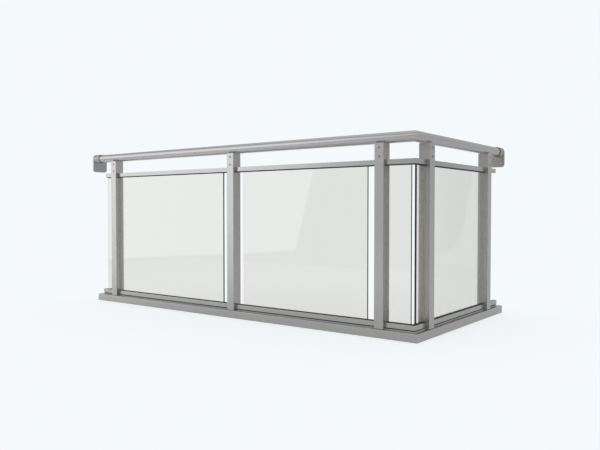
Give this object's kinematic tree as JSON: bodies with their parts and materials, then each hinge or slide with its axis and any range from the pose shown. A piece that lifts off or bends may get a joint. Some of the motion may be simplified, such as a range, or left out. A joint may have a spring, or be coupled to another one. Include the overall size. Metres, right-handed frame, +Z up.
{
  "type": "aluminium balcony railing",
  "caption": "L-shaped balcony railing of satin aluminium with clear glass panes, hollow posts, a mitred round handrail and a wall bracket at each end.",
  "frame": {"origin": "centre of the bounding box, at the underside of the base", "axes": "+X along the long side towards the outer corner, +Y along the short side away from that corner, +Z up"},
  "size_m": [2.437, 1.152, 0.984],
  "materials": {
    "satin_aluminium": "satin anodised",
    "cast_aluminium": "cast and coated",
    "clear_glass": "clear, polished",
    "black_rubber": "matte",
    "grey_rubber": "matte",
    "dark_plastic": "matte",
    "grey_plastic": "matte",
    "screw_steel": "brushed"
  },
  "bodies": {
    "root": {"base_rail_long": "satin_aluminium", "base_end_cap_long": "grey_plastic", "handrail_long": "satin_aluminium", "handrail_ring_long": "black_rubber", "wall_bracket_long": "cast_aluminium", "bottom_rail_long": "satin_aluminium", "bottom_rail_cap_long": "grey_plastic", "bottom_gasket_long": "black_rubber", "top_rail_long": "satin_aluminium", "top_rail_cap_long": "grey_plastic", "top_gasket_long": "black_rubber", "base_rail_short": "satin_aluminium", "base_end_cap_short": "grey_plastic", "handrail_short": "satin_aluminium", "handrail_ring_short": "black_rubber", "wall_bracket_short": "cast_aluminium", "bottom_rail_short": "satin_aluminium", "bottom_rail_cap_short": "grey_plastic", "bottom_gasket_short": "black_rubber", "top_rail_short": "satin_aluminium", "top_rail_cap_short": "grey_plastic", "top_gasket_short": "black_rubber", "post_long_end": "satin_aluminium", "foot_pad_long_end": "black_rubber", "foot_plate_long_end": "cast_aluminium", "saddle_long_end": "cast_aluminium", "rail_packers_long_end": "dark_plastic", "post_long_middle": "satin_aluminium", "foot_pad_long_middle": "black_rubber", "foot_plate_long_middle": "cast_aluminium", "saddle_long_middle": "cast_aluminium", "rail_packers_long_middle": "dark_plastic", "post_long_corner": "satin_aluminium", "foot_pad_long_corner": "black_rubber", "foot_plate_long_corner": "cast_aluminium", "saddle_long_corner": "cast_aluminium", "rail_packers_long_corner": "dark_plastic", "post_short_corner": "satin_aluminium", "foot_pad_short_corner": "black_rubber", "foot_plate_short_corner": "cast_aluminium", "saddle_short_corner": "cast_aluminium", "rail_packers_short_corner": "dark_plastic", "post_short_end": "satin_aluminium", "foot_pad_short_end": "black_rubber", "foot_plate_short_end": "cast_aluminium", "saddle_short_end": "cast_aluminium", "rail_packers_short_end": "dark_plastic", "glass_pane_long_end": "clear_glass", "glass_pane_long_middle": "clear_glass", "glass_pane_long_corner": "clear_glass", "glass_pane_short_corner": "clear_glass", "glass_pane_short_end": "clear_glass", "glass_strips": "clear_glass", "rail_bed": "black_rubber", "glass_seals": "grey_rubber", "base_corner_cleat": "cast_aluminium", "handrail_sleeve": "cast_aluminium", "foot_bolts": "screw_steel", "saddle_screws": "screw_steel"}
  },
  "joints": []
}
